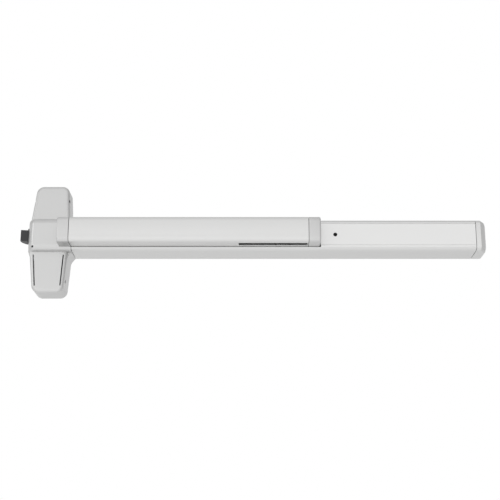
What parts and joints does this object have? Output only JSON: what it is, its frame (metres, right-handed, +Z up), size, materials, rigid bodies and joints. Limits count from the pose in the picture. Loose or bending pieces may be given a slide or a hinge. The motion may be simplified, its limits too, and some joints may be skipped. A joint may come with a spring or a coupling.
{
  "type": "panic exit bar",
  "caption": "Touch-bar panic exit device: pressing the bar swings the rim latch bolt back into its centre case; a key can hold it pressed.",
  "frame": {"origin": "on the door face, at the middle of the centre case's back", "axes": "+X along the bar away from the latch, +Y into the door, +Z up"},
  "size_m": [0.8418, 0.0975, 0.2027],
  "materials": {
    "satin_silver": "satin silver-grey finish on aluminium",
    "cover_face": "slightly lighter satin silver, brushed lengthwise",
    "dark_steel": "dark grey hardened steel, satin",
    "black_steel": "blackened steel",
    "bright_steel": "bright ground steel pins and springs",
    "zinc_steel": "zinc plated pressed steel"
  },
  "bodies": {
    "case": {"case_cover": "satin_silver", "case_chassis": "zinc_steel", "cover_screw_lower_left": "black_steel", "cover_screw_upper_left": "black_steel", "cover_screw_lower_right": "black_steel", "cover_screw_upper_right": "black_steel", "latch_frame": "zinc_steel", "latch_hinge_pin": "bright_steel", "trigger_guide": "zinc_steel", "mechanism_case": "satin_silver", "cover_plate": "cover_face", "mechanism_baseplate": "zinc_steel", "crank_bracket_front": "zinc_steel", "crank_bracket_rear": "zinc_steel", "crank_pivot_pin_front": "bright_steel", "crank_pivot_pin_rear": "bright_steel", "spring_anchor": "zinc_steel", "spring_guide_pin": "bright_steel", "main_spring": "bright_steel", "trigger_spring": "bright_steel", "dogging_bracket": "zinc_steel", "end_cap": "satin_silver", "end_cap_bracket": "zinc_steel", "end_cap_screw_lower": "black_steel", "end_cap_screw_upper": "black_steel"},
    "push_bar": {"touch_bar": "satin_silver", "touch_bar_end_cap": "satin_silver", "touch_bar_bracket_front": "zinc_steel", "touch_bar_bracket_rear": "zinc_steel"},
    "rod": {"actuating_rod": "zinc_steel", "retractor_slide": "zinc_steel", "retractor_pin": "bright_steel", "slide_rivet_1": "zinc_steel", "slide_rivet_2": "zinc_steel", "spring_collar": "zinc_steel", "collar_rivet": "zinc_steel"},
    "crank_front": {"bell_crank_front": "zinc_steel", "crank_bar_pin_front": "bright_steel", "crank_rod_pin_front": "bright_steel"},
    "crank_rear": {"bell_crank_rear": "zinc_steel", "crank_bar_pin_rear": "bright_steel", "crank_rod_pin_rear": "bright_steel"},
    "latch": {"latch_bolt": "dark_steel"},
    "trigger": {"deadlatch_trigger": "black_steel"},
    "dogging_key_screw": {"dogging_screw": "black_steel"},
    "pawl": {"dogging_pawl": "dark_steel"}
  },
  "joints": [
    {"name": "push_bar_press", "type": "slide", "parent": "case", "child": "push_bar", "axis": [0, 1, 0], "range_m": [0, 0.019], "stiffness_N_per_m": 1500, "springref_m": -0.02},
    {"name": "rod_slide", "type": "slide", "parent": "case", "child": "rod", "axis": [1, 0, 0], "range_m": [0, 0.01248], "deforming": ["main_spring"]},
    {"name": "crank_front_turn", "type": "hinge", "parent": "case", "child": "crank_front", "pos_m": [0.12, -0.031, 0], "axis": [0, 0, -1], "range_deg": [0, 36.35]},
    {"name": "crank_rear_turn", "type": "hinge", "parent": "case", "child": "crank_rear", "pos_m": [0.42, -0.031, 0], "axis": [0, 0, -1], "range_deg": [0, 36.35]},
    {"name": "latch_turn", "type": "hinge", "parent": "case", "child": "latch", "pos_m": [-0.028, -0.034, 0.0075], "axis": [0, 0, -1], "range_deg": [0, 73.56]},
    {"name": "trigger_slide", "type": "slide", "parent": "case", "child": "trigger", "axis": [1, 0, 0], "range_m": [0, 0.002], "stiffness_N_per_m": 300, "springref_m": -0.004, "deforming": ["trigger_spring"]},
    {"name": "dogging_screw_turn", "type": "hinge", "parent": "case", "child": "dogging_key_screw", "pos_m": [0.5138, -0.05, -0.0005], "axis": [0, 1, 0], "range_deg": [0, 90.05]},
    {"name": "pawl_slide", "type": "slide", "parent": "case", "child": "pawl", "axis": [0, 1, 0], "range_m": [0, 0.005]}
  ],
  "couplings": [
    {"joint": "rod_slide", "follows": "push_bar_press", "ratio": 0.65574},
    {"joint": "crank_front_turn", "follows": "push_bar_press", "rad_per_m": 33.342},
    {"joint": "crank_rear_turn", "follows": "push_bar_press", "rad_per_m": 33.342},
    {"joint": "latch_turn", "follows": "push_bar_press", "rad_per_m": 67.531},
    {"joint": "dogging_screw_turn", "follows": "pawl_slide", "rad_per_m": 314.16}
  ]
}
